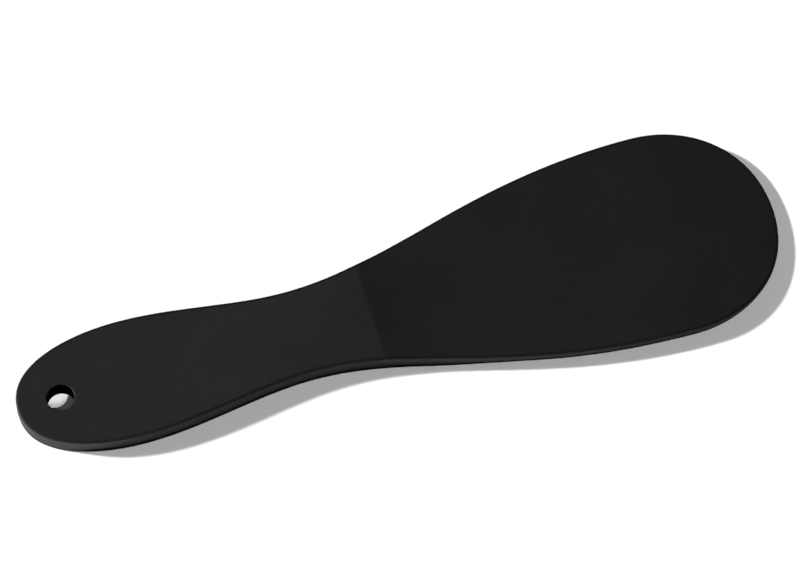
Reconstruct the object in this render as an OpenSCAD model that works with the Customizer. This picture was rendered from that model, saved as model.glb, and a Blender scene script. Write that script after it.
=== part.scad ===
// One-piece moulded shoehorn: a flat paddle handle with a hanging hole, a waist, and a wide thin blade.
// It lies on its handle: +X runs from the handle's end to the blade's tip, +Z is up.
// The origin is on the surface that it lies on, at the middle of its length and width.
// Places along the length are measured from the handle's end.

/* [Length] */
// Whole length, from the handle's end to the blade's tip
total_length = 180; // [176:1:200]
// Where the handle is widest
handle_x = 26.7; // [22:0.1:34]
// Where the waist is narrowest
waist_x = 66.1; // [58:0.1:72]
// Where the flat handle ends in a straight crease across the top, and the blade begins
crease_x = 83.3; // [76:0.1:90]
// Where the blade is widest
blade_x = 153.6; // [146:0.1:158]

/* [Width] */
// Full width of the handle
handle_width = 28.8; // [24:0.1:34]
// Full width of the waist
waist_width = 20.8; // [16:0.1:26]
// Full width of the blade
blade_width = 50.3; // [44:0.1:58]

/* [Thickness] */
// Thickness of the handle plate
handle_thickness = 5.8; // [5:0.1:7]
// Thickness of the blade at its long edges
blade_edge_thickness = 3.1; // [2:0.1:3.6]
// Thickness of the blade along its middle, thinner than the edges, so the underside is slightly hollow
blade_middle_thickness = 2.3; // [1.6:0.1:3]
// Thickness of the blade at its tip
tip_thickness = 1.2; // [1:0.1:1.6]
// Length over which the underside rises from the handle to the blade
ramp_length = 32; // [24:1:45]
// Length over which the blade thins towards its tip
taper_length = 28; // [20:1:32]

/* [Top face] */
// How far the blade's top lies below the handle's
blade_drop = 0.85; // [0:0.05:1]
// Length behind the crease over which the top goes down to the blade's level
drop_length = 20; // [14:1:30]
// How far the top curves down at the tip
tip_drop = 2.4; // [0:0.1:2.4]
// Length over which the top curves down to the tip
tip_drop_length = 38; // [26:1:44]

/* [Edges] */
// Radius of the rounded top edge
top_round = 0.4; // [0.2:0.05:0.5]
// Radius of the rounded bottom edge at the handle; it shrinks with the thickness towards the tip
bottom_round = 0.5; // [0.3:0.05:1]

/* [Hanging hole] */
// Diameter of the hole
hole_diameter = 6.4; // [4:0.1:10]
// From the handle's end to the hole's centre
hole_x = 10.1; // [8:0.1:14]
// Radius of the rounded rim at both mouths of the hole
hole_round = 0.2; // [0.2:0.05:0.8]

/* [Hidden] */

// The plan of one side is four cubic curves, joined where the width is greatest or least.
// A curve's two pull lengths set how long it stays close to the direction of each of its ends.
end_pull = [10.6, 12.1];
waist_pull = [14, 12.7];
flare_pull = [26.4, 42.2];
tip_pull = [14.2, 15.8];
curves = [
    [[0, 0], [0, end_pull[0]], [handle_x - end_pull[1], handle_width / 2], [handle_x, handle_width / 2]],
    [
        [handle_x, handle_width / 2], [handle_x + waist_pull[0], handle_width / 2],
        [waist_x - waist_pull[1], waist_width / 2], [waist_x, waist_width / 2]
    ],
    [
        [waist_x, waist_width / 2], [waist_x + flare_pull[0], waist_width / 2],
        [blade_x - flare_pull[1], blade_width / 2], [blade_x, blade_width / 2]
    ],
    [
        [blade_x, blade_width / 2], [blade_x + tip_pull[0], blade_width / 2],
        [total_length, tip_pull[1]], [total_length, 0]
    ]
];
// Steps along each curve
curve_steps = [20, 16, 26, 24];
// Steps across the top and the underside
cross_steps = 12;
// Steps round each rounded edge
round_steps = 3;
// A cut is this much longer than what it cuts
cut_margin = 1;

// Rises from 0 to 1 as u goes from 0 to 1, level at both ends
function ease(u) = let(c = min(max(u, 0), 1)) c * c * (3 - 2 * c);

// A point of a cubic curve, and its direction there
function curve_point(c, t) =
    pow(1 - t, 3) * c[0] + 3 * t * pow(1 - t, 2) * c[1] + 3 * t * t * (1 - t) * c[2] + pow(t, 3) * c[3];
function curve_slope(c, t) =
    pow(1 - t, 2) * (c[1] - c[0]) + 2 * t * (1 - t) * (c[2] - c[1]) + t * t * (c[3] - c[2]);

// Outward direction of the side wall at a point of the plan
function outward(c, t) = let(s = curve_slope(c, t)) [-s[1], s[0]] / norm(s);

// Height of the top face: level on the handle, lower on the blade, curving down to the tip
function top_z(x) =
    let(
        to_blade = min(max((x - crease_x) / drop_length, 0), 1),
        to_tip = max((x - total_length) / tip_drop_length + 1, 0)
    )
    handle_thickness - blade_drop * (1 - pow(1 - to_blade, 2)) - tip_drop * pow(to_tip, 2);

// Thickness at the long edges and along the middle
function thickness(x, blade_thickness) =
    handle_thickness
    - (handle_thickness - blade_thickness) * ease((x - crease_x) / ramp_length)
    - (blade_thickness - tip_thickness) * ease((x - total_length + taper_length) / taper_length);
function edge_thickness(x) = thickness(x, blade_edge_thickness);
function middle_thickness(x) = thickness(x, blade_middle_thickness);

// Height of the underside, never below the surface it lies on; across runs from 0 in the middle to 1 at an edge
function bottom_z(x, across) =
    let(middle = middle_thickness(x), edge = edge_thickness(x))
    max(0, top_z(x) - middle - (edge - middle) * across * across);

// Radius of the rounded bottom edge, in proportion to the thickness there
function low_round(x) = bottom_round * edge_thickness(x) / handle_thickness;

// The side wall from top to bottom, as [1 on the top edge and 0 on the bottom edge, inset, drop or rise].
// The inset and the drop or rise are in radii of that edge.
quarter = [for (i = [0:round_steps]) let(a = 90 * i / round_steps) [1 - sin(a), 1 - cos(a)]];
wall = concat(
    [for (i = [0:round_steps]) [1, quarter[i][0], quarter[i][1]]],
    [for (i = [round_steps:-1:0]) [0, quarter[i][0], quarter[i][1]]]
);
wall_steps = len(wall) - 1;

// A point of the side wall; side is 1 or -1, and the wall's point is set in along the outward direction
function wall_point(p, out, side, step) =
    let(
        w = wall[step],
        radius = w[0] == 1 ? top_round : low_round(p[0]),
        x = p[0] - out[0] * w[1] * radius,
        y = p[1] - out[1] * w[1] * radius,
        z = w[0] == 1 ? top_z(x) - w[2] * radius : bottom_z(x, 1) + w[2] * radius
    )
    [x - total_length / 2, side * y, z];

// One closed ring round the section at a point of the plan:
// the top from +Y to -Y, down the -Y wall, the underside back to +Y, and up the +Y wall
function ring(p, out) =
    let(
        top_x = p[0] - out[0] * top_round,
        top_y = p[1] - out[1] * top_round,
        low_x = p[0] - out[0] * low_round(p[0]),
        low_y = p[1] - out[1] * low_round(p[0])
    )
    concat(
        [
            for (i = [0:cross_steps])
                let(k = 1 - 2 * i / cross_steps)
                    [top_x - total_length / 2, k * top_y, top_z(top_x)]
        ],
        [for (s = [1:wall_steps - 1]) wall_point(p, out, -1, s)],
        [
            for (i = [0:cross_steps])
                let(k = 2 * i / cross_steps - 1)
                    [low_x - total_length / 2, k * low_y, bottom_z(low_x, k)]
        ],
        [for (s = [wall_steps - 1:-1:1]) wall_point(p, out, 1, s)]
    );

// The upright line of points that closes the shell at the handle's end or at the tip
function end_line(p, out) = [for (s = [0:wall_steps]) wall_point(p, out, 1, s)];

// Which point of an end line a point of a ring joins
function end_step(j) =
    j <= cross_steps ? 0
    : j <= cross_steps + wall_steps - 1 ? j - cross_steps
    : j <= 2 * cross_steps + wall_steps ? wall_steps
    : 2 * cross_steps + 2 * wall_steps - j;

// All rings, without the two ends of the plan, where the width is nothing
rings = [
    for (c = [0:len(curves) - 1])
        for (i = [1:curve_steps[c]])
            let(t = i / curve_steps[c])
                if (c < len(curves) - 1 || i < curve_steps[c])
                    ring(curve_point(curves[c], t), outward(curves[c], t))
];
ring_size = len(rings[0]);
start_line = end_line([0, 0], [-1, 0]);
tip_line = end_line([total_length, 0], [1, 0]);
start_at = len(rings) * ring_size;
tip_at = start_at + len(start_line);
shell_points = concat([for (r = rings) each r], start_line, tip_line);

function ring_at(i, j) = i * ring_size + j % ring_size;

side_faces = [
    for (i = [0:len(rings) - 2])
        for (j = [0:ring_size - 1])
            each [
                [ring_at(i, j), ring_at(i + 1, j), ring_at(i + 1, j + 1)],
                [ring_at(i, j), ring_at(i + 1, j + 1), ring_at(i, j + 1)]
            ]
];
start_faces = [
    for (j = [0:ring_size - 1])
        let(a = start_at + end_step(j), b = start_at + end_step((j + 1) % ring_size))
            each a == b
                ? [[a, ring_at(0, j), ring_at(0, j + 1)]]
                : [[a, ring_at(0, j), ring_at(0, j + 1)], [a, ring_at(0, j + 1), b]]
];
last = len(rings) - 1;
tip_faces = [
    for (j = [0:ring_size - 1])
        let(a = tip_at + end_step(j), b = tip_at + end_step((j + 1) % ring_size))
            each a == b
                ? [[ring_at(last, j), a, ring_at(last, j + 1)]]
                : [[ring_at(last, j), a, ring_at(last, j + 1)], [a, b, ring_at(last, j + 1)]]
];

// The whole outer shape without its hole
module shell() {
    polyhedron(points = shell_points, faces = concat(side_faces, start_faces, tip_faces), convexity = 4);
}

// What the hole takes away: a straight bore and a rounded flare at each mouth
module hole() {
    hole_radius = hole_diameter / 2;
    cylinder(h = handle_thickness + 2 * cut_margin, r = hole_radius, center = true, $fn = 96);
    for (end = [0, 1])
        mirror([0, 0, end])
            translate([0, 0, handle_thickness / 2 - hole_round])
                rotate_extrude($fn = 96)
                    difference() {
                        square([hole_radius + hole_round, hole_round + cut_margin]);
                        translate([hole_radius + hole_round, 0])
                            circle(r = hole_round, $fn = 48);
                    }
}

// The shoehorn, one moulding
module shoehorn_body() {
    color([0.045, 0.045, 0.047])
        difference() {
            shell();
            translate([hole_x - total_length / 2, 0, handle_thickness / 2])
                hole();
        }
}

shoehorn_body();
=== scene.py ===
"""A one-piece moulded plastic shoehorn, lying on a white studio floor.

The CAD part gives the place and the size. This script makes a finer skin of the same shape, with the
moulding draft, the parting line and the two finishes that the CAD part leaves out, and its material,
the floor, the light and the camera.
"""

import math

import bmesh
import bpy
import numpy as np
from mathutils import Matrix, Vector


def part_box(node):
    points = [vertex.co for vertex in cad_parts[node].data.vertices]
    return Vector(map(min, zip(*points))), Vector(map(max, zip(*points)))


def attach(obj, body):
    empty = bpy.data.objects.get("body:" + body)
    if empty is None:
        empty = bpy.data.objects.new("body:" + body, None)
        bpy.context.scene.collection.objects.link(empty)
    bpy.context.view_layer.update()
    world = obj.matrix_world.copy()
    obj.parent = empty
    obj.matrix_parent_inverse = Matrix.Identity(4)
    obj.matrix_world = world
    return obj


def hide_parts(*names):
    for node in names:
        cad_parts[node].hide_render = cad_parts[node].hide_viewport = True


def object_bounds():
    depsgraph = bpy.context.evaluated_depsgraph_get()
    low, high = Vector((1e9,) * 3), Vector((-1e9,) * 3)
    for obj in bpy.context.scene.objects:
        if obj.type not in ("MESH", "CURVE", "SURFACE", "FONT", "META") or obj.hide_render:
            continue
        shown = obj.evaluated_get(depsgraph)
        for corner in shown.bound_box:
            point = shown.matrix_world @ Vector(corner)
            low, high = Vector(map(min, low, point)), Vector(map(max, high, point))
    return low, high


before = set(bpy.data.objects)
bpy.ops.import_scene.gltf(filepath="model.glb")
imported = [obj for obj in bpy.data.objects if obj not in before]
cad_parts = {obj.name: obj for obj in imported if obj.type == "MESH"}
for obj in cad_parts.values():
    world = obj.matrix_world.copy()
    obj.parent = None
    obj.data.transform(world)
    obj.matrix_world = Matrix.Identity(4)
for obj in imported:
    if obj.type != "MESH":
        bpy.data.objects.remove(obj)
cad_low, cad_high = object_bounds()

NODE = "shoehorn_body"
body_low, body_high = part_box(NODE)

# ---------------------------------------------------------------------------------------------------
# The shape, in millimetres from the handle's end, as in the CAD part
# ---------------------------------------------------------------------------------------------------
MM = 0.001
LENGTH = 180.0
HANDLE_X, HANDLE_WIDTH = 26.7, 28.8
WAIST_X, WAIST_WIDTH = 66.1, 20.8
CREASE_X = 83.3
BLADE_X, BLADE_WIDTH = 153.6, 50.3
HANDLE_THICKNESS = 5.8
BLADE_EDGE, BLADE_MIDDLE, TIP_THICKNESS = 3.1, 2.3, 1.2
RAMP_LENGTH, TAPER_LENGTH = 32.0, 28.0
BLADE_DROP, DROP_LENGTH = 0.85, 20.0
TIP_DROP, TIP_DROP_LENGTH = 2.4, 38.0
TOP_ROUND, BOTTOM_ROUND = 0.4, 0.5
HOLE_X, HOLE_RADIUS, HOLE_ROUND = 10.1, 3.2, 0.2

# The plan of the +Y side: four cubic curves from the handle's end to the tip
CURVES = (
    ((0, 0), (0, 10.6), (HANDLE_X - 12.1, HANDLE_WIDTH / 2), (HANDLE_X, HANDLE_WIDTH / 2)),
    (
        (HANDLE_X, HANDLE_WIDTH / 2),
        (HANDLE_X + 14.0, HANDLE_WIDTH / 2),
        (WAIST_X - 12.7, WAIST_WIDTH / 2),
        (WAIST_X, WAIST_WIDTH / 2),
    ),
    (
        (WAIST_X, WAIST_WIDTH / 2),
        (WAIST_X + 26.4, WAIST_WIDTH / 2),
        (BLADE_X - 42.2, BLADE_WIDTH / 2),
        (BLADE_X, BLADE_WIDTH / 2),
    ),
    ((BLADE_X, BLADE_WIDTH / 2), (BLADE_X + 14.2, BLADE_WIDTH / 2), (LENGTH, 15.8), (LENGTH, 0)),
)
CREASE_CURVE = 2

# What only the skin has
PARTING_HEIGHT = 0.42  # share of the straight wall below the parting line
PARTING_STEP = 0.04  # the lower half of the mould is this much smaller, which leaves a hair-thin step
PARTING_HALF = 0.04  # half the step's height
DRAFT = 0.07  # how far the wall leans in from the parting line to the bottom edge
SUPPORT = 0.35  # a row of points this far inside an edge keeps the flat face flat
CREASE_HALF = 0.16  # half the width over which the crease bends
FINISH_BLEND = 1.6  # length over which one finish gives way to the other
FADE, FADE_LENGTH = 0.35, 14.0  # how far the blade's finish already shows on the handle, and over what length

# Painted shade on the side wall, a near-black colour without gloss, grows away from the handle's end: its
# share, the distance where it starts and the length it grows over.
# The painted shade of each wall row is weaker near that end, down to the share below, reached over the length
# below.
WALL_PAINTED_SHADE, WALL_PAINTED_SHADE_FROM, WALL_PAINTED_SHADE_LENGTH = 0.35, 6.0, 34.0
END_PAINTED_SHADE, END_LENGTH = 0.3, 14.0

INNER_EDGE = TOP_ROUND + SUPPORT
STEP = 0.72  # spacing of the points along the outline
COLUMNS = 26  # faces across the object
ROUND_STEPS = 6  # faces round an edge
HOLE_RINGS = 7  # faces between the hole's rim and the grid round it


def bezier(curve, t):
    """Points and slopes of a cubic curve."""
    c = np.array(curve, float)
    t = np.asarray(t, float)[:, None]
    point = (1 - t) ** 3 * c[0] + 3 * t * (1 - t) ** 2 * c[1] + 3 * t**2 * (1 - t) * c[2] + t**3 * c[3]
    slope = (1 - t) ** 2 * (c[1] - c[0]) + 2 * t * (1 - t) * (c[2] - c[1]) + t**2 * (c[3] - c[2])
    return point, slope


def outward(slope):
    """Unit vectors square to the slope, pointing out of the +Y side."""
    n = np.stack([-slope[:, 1], slope[:, 0]], axis=1)
    return n / np.linalg.norm(n, axis=1)[:, None]


def side_outline():
    """Points and outward directions of the +Y side, evenly spaced, with three close rows at the crease."""
    points, normals = [], []
    fine = np.linspace(0, 1, 801)
    for index, curve in enumerate(CURVES):
        position, slope = bezier(curve, fine)
        along = np.concatenate([[0], np.cumsum(np.linalg.norm(np.diff(position, axis=0), axis=1))])
        count = round(along[-1] / STEP)
        t = np.interp(np.linspace(0, along[-1], count + 1), along, fine)
        if index == CREASE_CURVE:
            inner_x = (position - outward(slope) * INNER_EDGE)[:, 0]
            crease = np.interp([CREASE_X - CREASE_HALF, CREASE_X, CREASE_X + CREASE_HALF], inner_x, fine)
            x_of_t = np.interp(t, fine, inner_x)
            t = np.sort(np.concatenate([t[np.abs(x_of_t - CREASE_X) > 0.8 * STEP], crease]))
        if index:
            t = t[1:]
        position, slope = bezier(curve, t)
        points.append(position)
        normals.append(outward(slope))
    return np.concatenate(points), np.concatenate(normals)


def ease(u):
    c = np.clip(u, 0, 1)
    return c * c * (3 - 2 * c)


def top_z(x):
    """Height of the top face: level on the handle, lower on the blade, curving down to the tip."""
    to_blade = np.clip((x - CREASE_X) / DROP_LENGTH, 0, 1)
    to_tip = np.maximum((x - LENGTH) / TIP_DROP_LENGTH + 1, 0)
    return HANDLE_THICKNESS - BLADE_DROP * (1 - (1 - to_blade) ** 2) - TIP_DROP * to_tip**2


def thickness(x, blade_thickness):
    return (
        HANDLE_THICKNESS
        - (HANDLE_THICKNESS - blade_thickness) * ease((x - CREASE_X) / RAMP_LENGTH)
        - (blade_thickness - TIP_THICKNESS) * ease((x - LENGTH + TAPER_LENGTH) / TAPER_LENGTH)
    )


def bottom_z(x, across):
    """Height of the underside, never below the floor; across runs from 0 in the middle to 1 at an edge."""
    middle, edge = thickness(x, BLADE_MIDDLE), thickness(x, BLADE_EDGE)
    return np.maximum(0, top_z(x) - middle - (edge - middle) * across**2)


def low_round(x):
    """Radius of the rounded bottom edge, in proportion to the thickness there."""
    return BOTTOM_ROUND * thickness(x, BLADE_EDGE) / HANDLE_THICKNESS


class Plan:
    """The flat grid that the top face and the underside share: quads between the outline and the hole.

    The first points are the outline's, once round from the handle's end by way of the +Y side, the tip
    and the -Y side. The last are the hole's.
    """

    def __init__(self):
        side, side_out = side_outline()
        last = len(side) - 1
        mirror = np.array([1, -1])
        self.edge = np.concatenate([side, side[last - 1 : 0 : -1] * mirror])
        self.out = np.concatenate([side_out, side_out[last - 1 : 0 : -1] * mirror])
        self.count = len(self.edge)
        self.last = last
        self.points = list(self.edge - self.out * INNER_EDGE)
        self.faces = []
        near = min(range(last), key=lambda i: abs(self.points[i][0] - 2 * HOLE_X))
        far = last - COLUMNS // 2 - round(0.5 * BLADE_WIDTH / STEP * 0.75)
        rows = [self.row(i) for i in range(near, far + 1)]
        for a, b in zip(rows, rows[1:]):
            self.strip(a, b)
        self.tip(rows[-1], far)
        self.hole = self.handle_end(rows[0], near)

    def add(self, point):
        self.points.append(np.array(point, float))
        return len(self.points) - 1

    def strip(self, a, b):
        for i in range(len(a) - 1):
            self.faces.append((a[i], b[i], b[i + 1], a[i + 1]))

    def row(self, i):
        """A straight row of points across the object, from the +Y side to the -Y side."""
        a, b = self.points[i], self.points[self.count - i]
        middle = [self.add(a + (b - a) * k / COLUMNS) for k in range(1, COLUMNS)]
        return [i, *middle, self.count - i]

    def tip(self, row, far):
        """Fills from the last row to the tip, blending between its four sides."""
        corner = self.last - COLUMNS // 2
        steps = corner - far
        end = [corner + k for k in range(COLUMNS + 1)]
        p = self.points
        previous = row
        for s in range(1, steps):
            u = s / steps
            top, bottom = far + s, self.count - far - s
            made = [top]
            for k in range(1, COLUMNS):
                v = k / COLUMNS
                sides = (1 - u) * p[row[k]] + u * p[end[k]] + (1 - v) * p[top] + v * p[bottom]
                corners = (1 - u) * ((1 - v) * p[row[0]] + v * p[row[-1]])
                corners = corners + u * ((1 - v) * p[end[0]] + v * p[end[-1]])
                made.append(self.add(sides - corners))
            made.append(bottom)
            self.strip(previous, made)
            previous = made
        self.strip(previous, end)

    def handle_end(self, row, near):
        """Fills from the first row round the handle's end, in rings round the hole."""
        rim = [*range(near, -1, -1), *range(self.count - 1, self.count - near, -1), *reversed(row[1:])]
        centre = np.array([HOLE_X, 0.0])
        radius = HOLE_RADIUS + HOLE_ROUND + SUPPORT
        previous = rim
        for s in range(1, HOLE_RINGS + 1):
            u = (s / HOLE_RINGS) ** 0.8
            made = []
            for r in rim:
                ray = self.points[r] - centre
                inner = centre + ray / np.linalg.norm(ray) * radius
                made.append(self.add(self.points[r] * (1 - u) + inner * u))
            self.strip([*previous, previous[0]], [*made, made[0]])
            previous = made
        return previous


def quarter(radius):
    """(set in, set down) of the points round an edge, from the flat face to the wall."""
    angles = np.linspace(0, math.pi / 2, ROUND_STEPS + 1)
    return [(radius * (1 - math.sin(a)), radius * (1 - math.cos(a))) for a in angles]


def wall_rows(plan):
    """Rows of points round the side wall, from the top down, as (points, height, edge wear, share of painted
    shade).
    """
    edge, out = plan.edge, plan.out

    def at(inset):
        return edge - out * np.broadcast_to(inset, (plan.count,))[:, None]

    base_x = edge[:, 0]
    high = top_z(base_x) - TOP_ROUND
    radius = low_round(base_x)
    low = bottom_z(base_x, 1.0) + radius
    straight = high - low
    parting = low + straight * PARTING_HEIGHT
    half = np.minimum(PARTING_HALF, 0.1 * straight)
    rows = []
    # Each row's last value is its share of painted shade. The 0.4 on the top edge's rounding darkens it and
    # dims its highlight. The share rises to full towards the foot, standing in for the shade at the wall's
    # foot.
    for inset, drop in quarter(TOP_ROUND):
        xy = at(inset)
        rows.append((xy, top_z(xy[:, 0]) - drop, 1.0, 0.4))
    rows.append((at(0), parting + (high - parting) * 0.85, 0.2, 0.05))
    rows.append((at(0), parting + 3 * half, 0.0, 0.35))
    rows.append((at(0), parting + half, 0.5, 0.4))
    rows.append((at(PARTING_STEP), parting - half, 0.0, 0.5))
    rows.append((at(PARTING_STEP), parting - 3 * half, 0.0, 0.5))
    rows.append((at(PARTING_STEP + DRAFT * 0.4), low + (parting - low) * 0.6, 0.0, 0.95))
    rows.append((at(PARTING_STEP + DRAFT * 0.85), low + (parting - low) * 0.15, 0.0, 1.0))
    for inset, rise in reversed(quarter(1.0)):
        xy = at(PARTING_STEP + DRAFT + inset * radius)
        rows.append((xy, bottom_z(xy[:, 0], 1.0) + rise * radius, 0.0, 1.0))
    return rows


def make_skin():
    """The whole visible surface as one closed mesh."""
    plan = Plan()
    flat = np.array(plan.points)
    under = flat.copy()
    low_inset = (PARTING_STEP + DRAFT + low_round(plan.edge[:, 0]))[:, None]
    low_edge = plan.edge - plan.out * low_inset
    under[: plan.count] = plan.edge - plan.out * (low_inset + 0.5 * SUPPORT)
    half_width = np.interp(under[:, 0], low_edge[: plan.last + 1, 0], low_edge[: plan.last + 1, 1])
    across = np.clip(np.abs(under[:, 1]) / np.maximum(half_width, 0.01), 0, 1)

    points, wear, wall, painted_shade = [], [], [], []

    def add_all(xy, z, worn, on_wall=1.0, painted_shade_share=0.0):
        start = len(points)
        z = np.broadcast_to(z, (len(xy),))
        points.extend((x, y, h) for (x, y), h in zip(xy, z))
        wear.extend([worn] * len(xy))
        wall.extend([on_wall] * len(xy))
        painted_shade.extend(np.broadcast_to(painted_shade_share, (len(xy),)))
        return start

    faces = []

    def band(a, b):
        for i in range(len(a)):
            j = (i + 1) % len(a)
            faces.append((a[i], a[j], b[j], b[i]))

    top = add_all(flat, top_z(flat[:, 0]), 0.0, 0.0)
    faces.extend(tuple(top + i for i in f) for f in plan.faces)
    bottom = add_all(under, bottom_z(under[:, 0], across), 0.0, 0.0)
    faces.extend(tuple(bottom + i for i in reversed(f)) for f in plan.faces)

    previous = list(range(top, top + plan.count))
    # Painted shade on the side wall: a share that grows away from the handle's end, plus each row's own
    # share, which is weaker near that end.
    from_end = plan.edge[:, 0]
    wall_painted_shade = WALL_PAINTED_SHADE * np.clip((from_end - WALL_PAINTED_SHADE_FROM) / WALL_PAINTED_SHADE_LENGTH, 0, 1)
    for xy, z, worn, painted_shade_share in wall_rows(plan):
        painted_shade_share = painted_shade_share * np.clip(from_end / END_LENGTH, END_PAINTED_SHADE, 1)
        start = add_all(xy, z, worn, painted_shade_share=wall_painted_shade + (1 - wall_painted_shade) * painted_shade_share)
        made = list(range(start, start + plan.count))
        band(previous, made)
        previous = made
    band(previous, list(range(bottom, bottom + plan.count)))

    centre = np.array([HOLE_X, 0.0])
    ray = flat[plan.hole] - centre
    ray = ray / np.linalg.norm(ray, axis=1)[:, None]
    rim = [(HOLE_RADIUS + inset, drop) for inset, drop in quarter(HOLE_ROUND)]
    rows = [(r, HANDLE_THICKNESS - drop, 0.8, 0.0) for r, drop in rim]
    # The bore's wall and its lower rim carry full painted shade, which darkens the inside of the hole.
    rows += [(HOLE_RADIUS, HANDLE_THICKNESS * k, 0.0, 1.0) for k in (0.92, 0.5, 0.15)]
    rows += [(r, drop, 0.8, 1.0) for r, drop in reversed(rim)]
    previous = [top + i for i in plan.hole]
    for radius, height, worn, painted_shade_share in rows:
        start = add_all(centre + ray * radius, height, worn, painted_shade_share=painted_shade_share)
        made = list(range(start, start + len(ray)))
        band(previous, made)
        previous = made
    band(previous, [bottom + i for i in plan.hole])

    low, high = np.array(body_low), np.array(body_high)
    placed = np.array(points) * ((high[0] - low[0]) / LENGTH)
    placed[:, 0] += low[0]
    placed[:, 1] += (low[1] + high[1]) / 2
    placed[:, 2] += low[2]
    placed = np.clip(placed, low, high)

    mesh = bpy.data.meshes.new("shoehorn_skin")
    mesh.from_pydata([tuple(p) for p in placed], [], faces)
    bm = bmesh.new()
    bm.from_mesh(mesh)
    bmesh.ops.recalc_face_normals(bm, faces=bm.faces)
    bm.to_mesh(mesh)
    bm.free()
    mesh.polygons.foreach_set("use_smooth", [True] * len(mesh.polygons))
    past = np.array(points)[:, 0] - CREASE_X
    blade = np.maximum(np.clip(past / FINISH_BLEND + 0.5, 0, 1), FADE * ease(1 + past / FADE_LENGTH))
    # Besides edge wear, the wall and the blade's finish, the attributes hold the share of painted shade.
    attributes = {"edge_wear": wear, "wall_finish": wall, "blade_finish": blade, "painted_shade": painted_shade}
    for name, values in attributes.items():
        mesh.attributes.new(name, "FLOAT", "POINT").data.foreach_set("value", np.array(values, np.float32))
    skin = bpy.data.objects.new("shoehorn_skin", mesh)
    bpy.context.scene.collection.objects.link(skin)
    return skin


# ---------------------------------------------------------------------------------------------------
# Materials
# ---------------------------------------------------------------------------------------------------
class Nodes:
    """Short names for making shader nodes."""

    def __init__(self, tree):
        self.tree = tree
        tree.nodes.clear()

    def new(self, kind, **inputs):
        node = self.tree.nodes.new(kind)
        for name, value in inputs.items():
            self.set(node.inputs[name.replace("_", " ")], value)
        return node

    def set(self, socket, value):
        if isinstance(value, bpy.types.NodeSocket):
            self.tree.links.new(value, socket)
        else:
            socket.default_value = value

    def math(self, operation, a, b=0.0, c=0.0):
        node = self.tree.nodes.new("ShaderNodeMath")
        node.operation = operation
        for socket, value in zip(node.inputs, (a, b, c)):
            self.set(socket, value)
        return node.outputs[0]

    def mix(self, factor, a, b):
        """A colour mix."""
        node = self.tree.nodes.new("ShaderNodeMix")
        node.data_type = "RGBA"
        for socket, value in ((node.inputs[0], factor), (node.inputs[6], a), (node.inputs[7], b)):
            self.set(socket, value)
        return node.outputs[2]

    def noise(self, vector, scale, detail=2.0, roughness=0.5):
        node = self.new("ShaderNodeTexNoise", Vector=vector, Scale=scale, Detail=detail, Roughness=roughness)
        return node.outputs["Fac"]

    def attribute(self, name):
        node = self.tree.nodes.new("ShaderNodeAttribute")
        node.attribute_name = name
        return node.outputs["Fac"]

    def ramp(self, value, low, high, to_low=0.0, to_high=1.0):
        """A clamped straight map from low..high to to_low..to_high."""
        node = self.tree.nodes.new("ShaderNodeMapRange")
        for socket, v in zip(node.inputs, (value, low, high, to_low, to_high)):
            self.set(socket, v)
        return node.outputs[0]


def grey(level):
    return (level, level, level * 1.02, 1.0)


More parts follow.
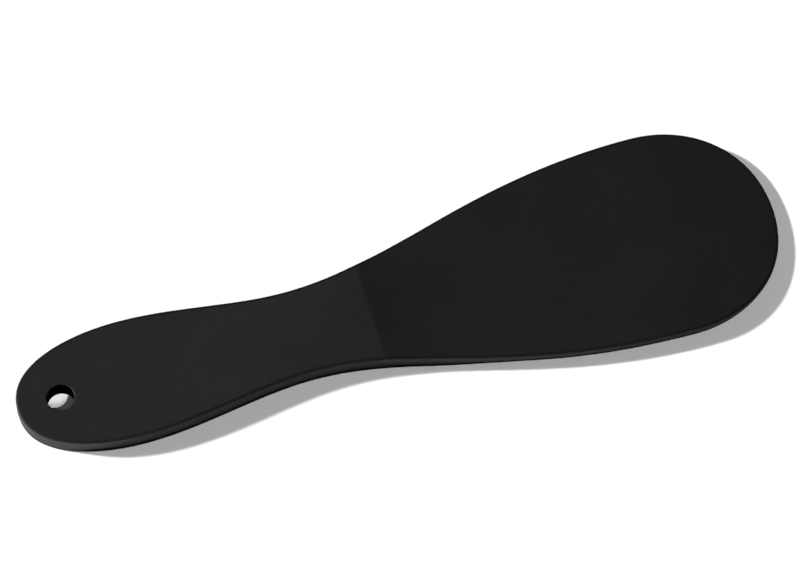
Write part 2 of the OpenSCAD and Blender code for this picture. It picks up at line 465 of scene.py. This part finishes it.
def plastic_material():
    """Matt black moulded plastic: spark-textured on the handle, smoother and darker on the blade, with
    painted shade on the wall's foot, in the bore and on the top edge's rounding.
    """
    material = bpy.data.materials.new("black_plastic")
    material.use_nodes = True
    n = Nodes(material.node_tree)
    place = n.new("ShaderNodeTexCoord").outputs["Object"]
    blade = n.attribute("blade_finish")
    worn = n.attribute("edge_wear")
    wall = n.attribute("wall_finish")
    painted_shade = n.attribute("painted_shade")

    # Colour: two finishes, a slow cloudiness from the moulding, the grain's own speckle, rubbed edges, and
    # painted shade
    cloud = n.noise(place, 55.0, 3.0)
    flow = n.noise(n.new("ShaderNodeMapping", Vector=place, Scale=(14.0, 90.0, 90.0)).outputs[0], 1.0, 3.0)
    speckle = n.noise(place, 2600.0, 2.0)
    finish = n.mix(blade, grey(HANDLE_COLOUR), grey(BLADE_COLOUR))
    shade = n.math("MULTIPLY", n.ramp(cloud, 0.3, 0.7, 0.94, 1.06), n.ramp(flow, 0.3, 0.7, 0.96, 1.04))
    shade = n.math("MULTIPLY", shade, n.ramp(speckle, 0.3, 0.7, 0.82, 1.18))
    toned = n.tree.nodes.new("ShaderNodeVectorMath")
    toned.operation = "SCALE"
    n.set(toned.inputs[0], finish)
    n.set(toned.inputs["Scale"], shade)
    patchy = n.ramp(n.noise(place, 240.0, 4.0, 0.65), 0.42, 0.68)
    rub = n.math("MULTIPLY", worn, n.math("MULTIPLY_ADD", patchy, 0.5, 0.15))
    colour = n.mix(rub, toned.outputs[0], grey(WORN_COLOUR))
    # Painted shade: the colour goes to near black where its share is set.
    colour = n.mix(painted_shade, colour, grey(PAINTED_SHADE_COLOUR))

    # Gloss: a little smoother on the blade and where edges are rubbed, with faint long scuffs on the blade
    streaks = n.new("ShaderNodeMapping", Vector=place, Scale=(60.0, 1500.0, 400.0)).outputs[0]
    scuff = n.math("MULTIPLY", n.ramp(n.noise(streaks, 1.0, 2.0), 0.60, 0.74), blade)
    face_rough = n.ramp(blade, 0.0, 1.0, HANDLE_ROUGHNESS, BLADE_ROUGHNESS)
    rough = n.ramp(wall, 0.0, 1.0, face_rough, WALL_ROUGHNESS)
    rough = n.math("ADD", rough, n.ramp(cloud, 0.3, 0.7, -0.02, 0.02))
    rough = n.math("ADD", rough, n.ramp(n.noise(place, 900.0, 3.0), 0.3, 0.7, -0.025, 0.025))
    rough = n.math("MULTIPLY_ADD", scuff, -0.04, rough)
    rough = n.math("MULTIPLY_ADD", rub, -0.10, rough)

    # Relief: the spark-eroded grain, weaker on the blade, over a very slow moulding ripple
    grain = n.noise(place, 3400.0, 3.0, 0.6)
    pits = n.new("ShaderNodeTexVoronoi", Vector=place, Scale=2500.0).outputs["Distance"]
    texture = n.math("MULTIPLY_ADD", pits, 0.5, grain)
    face_grain = n.ramp(blade, 0.0, 1.0, 0.55, 0.22)
    depth = n.ramp(wall, 0.0, 1.0, face_grain, 0.1)
    fine = n.new("ShaderNodeBump", Height=texture, Strength=depth, Distance=0.00002)
    ripple = n.new("ShaderNodeBump", Height=cloud, Strength=0.3, Distance=0.00003, Normal=fine.outputs[0])

    shader = n.new("ShaderNodeBsdfPrincipled", Base_Color=colour, Roughness=rough, Normal=ripple.outputs[0])
    shader.inputs["IOR"].default_value = PLASTIC_IOR
    # Painted shade also takes the gloss away.
    n.set(shader.inputs["Specular IOR Level"], n.ramp(painted_shade, 0.0, 1.0, PLASTIC_SPECULAR, 0.0))
    n.new("ShaderNodeOutputMaterial", Surface=shader.outputs[0])
    return material


def floor_material():
    """White matt studio paper."""
    material = bpy.data.materials.new("studio_paper")
    material.use_nodes = True
    n = Nodes(material.node_tree)
    place = n.new("ShaderNodeTexCoord").outputs["Object"]
    tone = n.mix(n.noise(place, 3.0, 3.0), (0.86, 0.86, 0.86, 1), (0.89, 0.89, 0.89, 1))
    fibre = n.noise(place, 900.0, 4.0, 0.6)
    bump = n.new("ShaderNodeBump", Height=fibre, Strength=0.2, Distance=0.00004)
    shader = n.new("ShaderNodeBsdfPrincipled", Base_Color=tone, Roughness=0.9, Normal=bump.outputs[0])
    shader.inputs["Specular IOR Level"].default_value = 0.2
    n.new("ShaderNodeOutputMaterial", Surface=shader.outputs[0])
    return material


# ---------------------------------------------------------------------------------------------------
# The studio
# ---------------------------------------------------------------------------------------------------
VIEW_TURN, VIEW_HEIGHT = -16.76, 66.0  # degrees: round the object from its -Y side, and above the floor
VIEW_DISTANCE = 1.216
LENS, SENSOR_WIDTH = 238.5, 36.0
LOOK_AT = Vector((0.00203, 0.00558, 0.0))

# The key light is a wide one to the left and a little behind; turns and heights are as for the view
KEY_TURN, KEY_HEIGHT = -115.0, 31.5
KEY_ANGLE = 6.0
KEY_STRENGTH = 6.55
# The fill comes from the viewer's side, and its own shadow falls where the key makes the floor white
FILL_TURN, FILL_HEIGHT = 4.6, 52.0
FILL_ANGLE = 6.0
FILL_STRENGTH = 1.42
SUN_DISTANCE = 2.0
# Narrow beams through the hanging hole as (turn, height, strength): they light the floor and nothing else
BEAMS = ((15.0, 58.0, 12.0), (VIEW_TURN, VIEW_HEIGHT, 1.0))
BEAM_DISTANCE = 0.5
BEAM_ANGLE, BEAM_BLEND, BEAM_RADIUS = 1.0, 0.2, 0.006
ROOM_LEVEL = 0.06

# The floor sheet, in metres: level out to FLOOR_FLAT, then curving up over FLOOR_RISE
FLOOR_FLAT, FLOOR_RISE, FLOOR_CURVE = 1.6, 1.4, 0.25
FLOOR_RINGS, FLOOR_SPOKES = 14, 96

# The last colour is the near-black painted shade.
HANDLE_COLOUR, BLADE_COLOUR, WORN_COLOUR, PAINTED_SHADE_COLOUR = 0.0088, 0.0056, 0.011, 0.001
HANDLE_ROUGHNESS, BLADE_ROUGHNESS, WALL_ROUGHNESS = 0.48, 0.46, 0.5
PLASTIC_IOR, PLASTIC_SPECULAR = 1.45, 0.2


def direction(turn, height):
    """Unit vector from the object to a place that far round it and above it."""
    a, e = math.radians(turn), math.radians(height)
    return Vector((math.sin(a) * math.cos(e), -math.cos(a) * math.cos(e), math.sin(e)))


def make_floor():
    """A wide sheet that curves up far behind the object on every side."""
    bm = bmesh.new()
    centre = bm.verts.new((0, 0, 0))
    previous = None
    for r in range(1, FLOOR_RINGS + 1):
        radius = (FLOOR_FLAT + FLOOR_RISE) * r / FLOOR_RINGS
        height = max(0.0, radius - FLOOR_FLAT) ** 2 * FLOOR_CURVE
        ring = [
            bm.verts.new((radius * math.cos(a), radius * math.sin(a), height))
            for a in (2 * math.pi * s / FLOOR_SPOKES for s in range(FLOOR_SPOKES))
        ]
        for s in range(FLOOR_SPOKES):
            following = (s + 1) % FLOOR_SPOKES
            if previous is None:
                bm.faces.new((centre, ring[s], ring[following]))
            else:
                bm.faces.new((previous[s], ring[s], ring[following], previous[following]))
        previous = ring
    mesh = bpy.data.meshes.new("floor")
    bm.to_mesh(mesh)
    bm.free()
    mesh.polygons.foreach_set("use_smooth", [True] * len(mesh.polygons))
    floor = bpy.data.objects.new("floor", mesh)
    floor.location.z = cad_low.z
    floor.data.materials.append(floor_material())
    bpy.context.scene.collection.objects.link(floor)
    return floor


def place(data, turn, height, target, distance):
    """Adds a light or a camera that looks at the target from that direction."""
    ob = bpy.data.objects.new(data.name, data)
    towards = direction(turn, height)
    ob.location = target + towards * distance
    ob.rotation_euler = towards.to_track_quat("Z", "Y").to_euler()
    bpy.context.scene.collection.objects.link(ob)
    return ob


def make_sun(name, turn, height, angle, strength):
    light = bpy.data.lights.new(name, "SUN")
    light.energy = strength
    light.angle = math.radians(angle)
    place(light, turn, height, Vector(), SUN_DISTANCE)


def make_light(floor):
    make_sun("key", KEY_TURN, KEY_HEIGHT, KEY_ANGLE, KEY_STRENGTH)
    make_sun("fill", FILL_TURN, FILL_HEIGHT, FILL_ANGLE, FILL_STRENGTH)

    receivers = bpy.data.collections.new("beams_light_this")
    receivers.objects.link(floor)
    top = Vector((body_low[0] + HOLE_X * MM, 0, body_low[2] + HANDLE_THICKNESS * MM))
    for number, (turn, height, strength) in enumerate(BEAMS, start=1):
        light = bpy.data.lights.new(f"hole_beam_{number}", "SPOT")
        light.energy = strength
        light.spot_size = math.radians(BEAM_ANGLE)
        light.spot_blend = BEAM_BLEND
        light.shadow_soft_size = BEAM_RADIUS
        beam = place(light, turn, height, top, BEAM_DISTANCE)
        beam.light_linking.receiver_collection = receivers

    world = bpy.data.worlds.new("studio")
    world.use_nodes = True
    n = Nodes(world.node_tree)
    background = n.new("ShaderNodeBackground", Color=(1, 1, 1, 1), Strength=ROOM_LEVEL)
    n.new("ShaderNodeOutputWorld", Surface=background.outputs[0])
    bpy.context.scene.world = world


def make_camera():
    lens = bpy.data.cameras.new("camera")
    lens.lens = LENS
    lens.sensor_width = SENSOR_WIDTH
    bpy.context.scene.camera = place(lens, VIEW_TURN, VIEW_HEIGHT, LOOK_AT, VIEW_DISTANCE)


skin = make_skin()
skin.data.materials.append(plastic_material())
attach(skin, "root")
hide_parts(NODE)

make_light(make_floor())
make_camera()
bpy.context.scene.view_settings.view_transform = "Standard"
